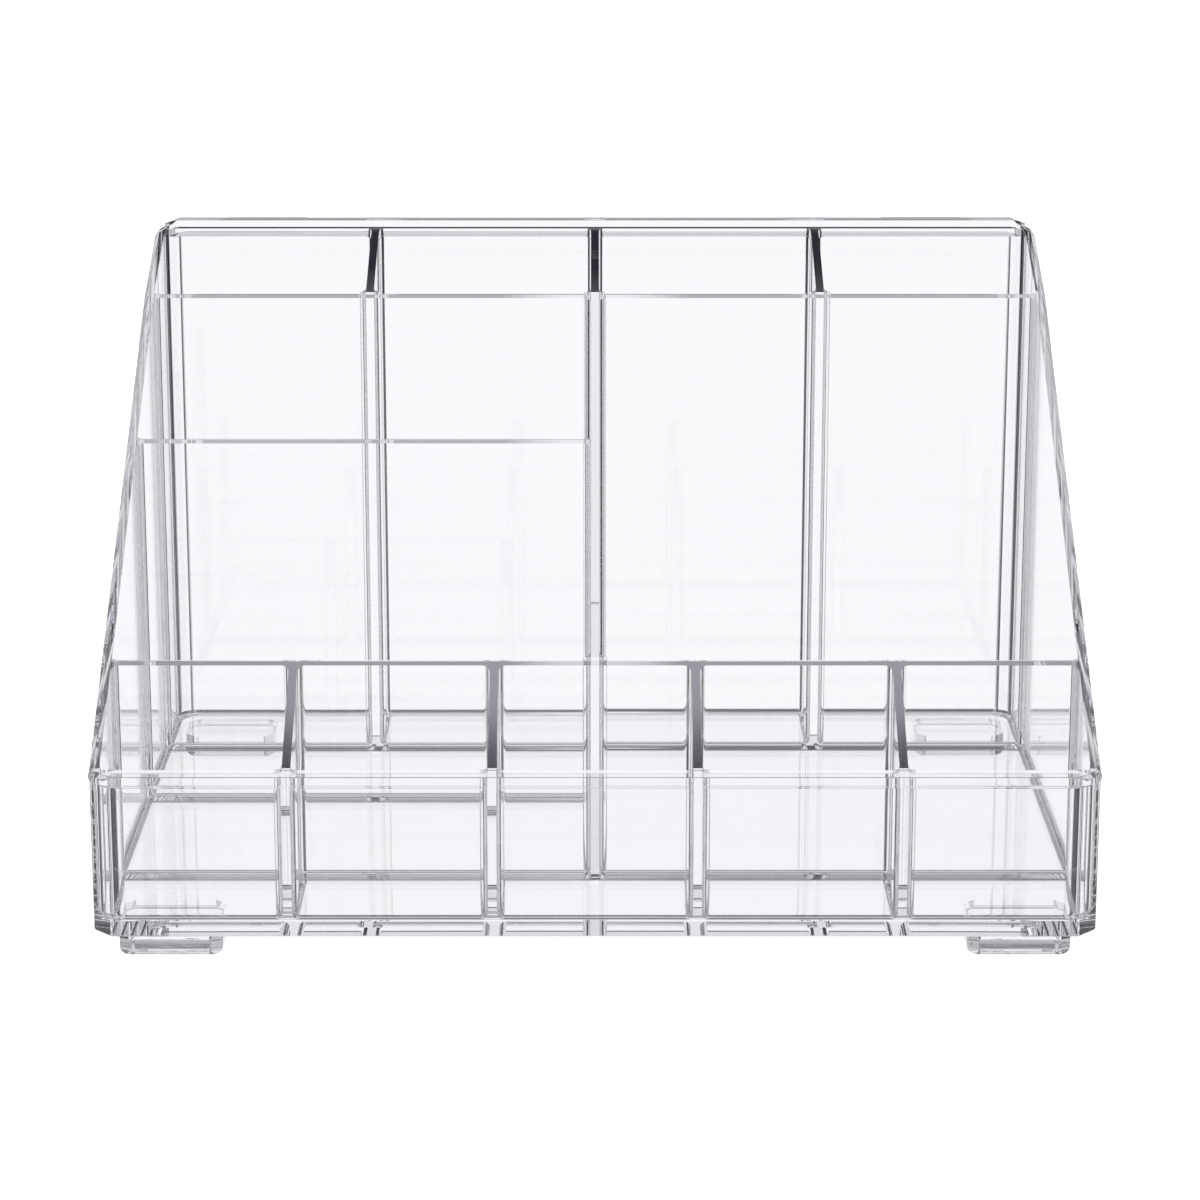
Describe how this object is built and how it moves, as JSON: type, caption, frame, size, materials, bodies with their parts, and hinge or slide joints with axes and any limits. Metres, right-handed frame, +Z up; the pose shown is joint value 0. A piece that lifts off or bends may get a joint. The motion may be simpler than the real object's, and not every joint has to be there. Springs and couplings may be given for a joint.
{
  "type": "vanity organizer",
  "caption": "Clear open organizer tray with a stepped side line, rows of wells that rise to the back, chamfered corners, a raised rim and low block feet.",
  "frame": {"origin": "on the surface that the feet stand on, under the middle of the body", "axes": "+Z up; -Y is the front, where the walls are lowest; +X is to the right as seen from the front"},
  "size_m": [0.3, 0.21, 0.1888],
  "materials": {
    "clear_outer_wall": "clear polished plastic with a faint cool tint",
    "clear_inner_wall": "clear polished plastic with a faint cool tint",
    "clear_floor": "clear polished plastic with a faint cool tint and coved wells",
    "clear_foot": "clear polished plastic block"
  },
  "bodies": {
    "root": {"floor_tray": "clear_floor", "front_wall": "clear_outer_wall", "back_wall": "clear_outer_wall", "left_side_wall": "clear_outer_wall", "right_side_wall": "clear_outer_wall", "front_cross_wall": "clear_inner_wall", "rear_cross_wall": "clear_inner_wall", "left_shelf_wall": "clear_inner_wall", "middle_partition": "clear_inner_wall", "front_divider_1": "clear_inner_wall", "front_divider_2": "clear_inner_wall", "front_divider_3": "clear_inner_wall", "front_divider_4": "clear_inner_wall", "rear_divider_1": "clear_inner_wall", "rear_divider_2": "clear_inner_wall", "rear_divider_3": "clear_inner_wall", "foot_front_left": "clear_foot", "foot_front_right": "clear_foot", "foot_rear_left": "clear_foot", "foot_rear_right": "clear_foot"}
  },
  "joints": []
}
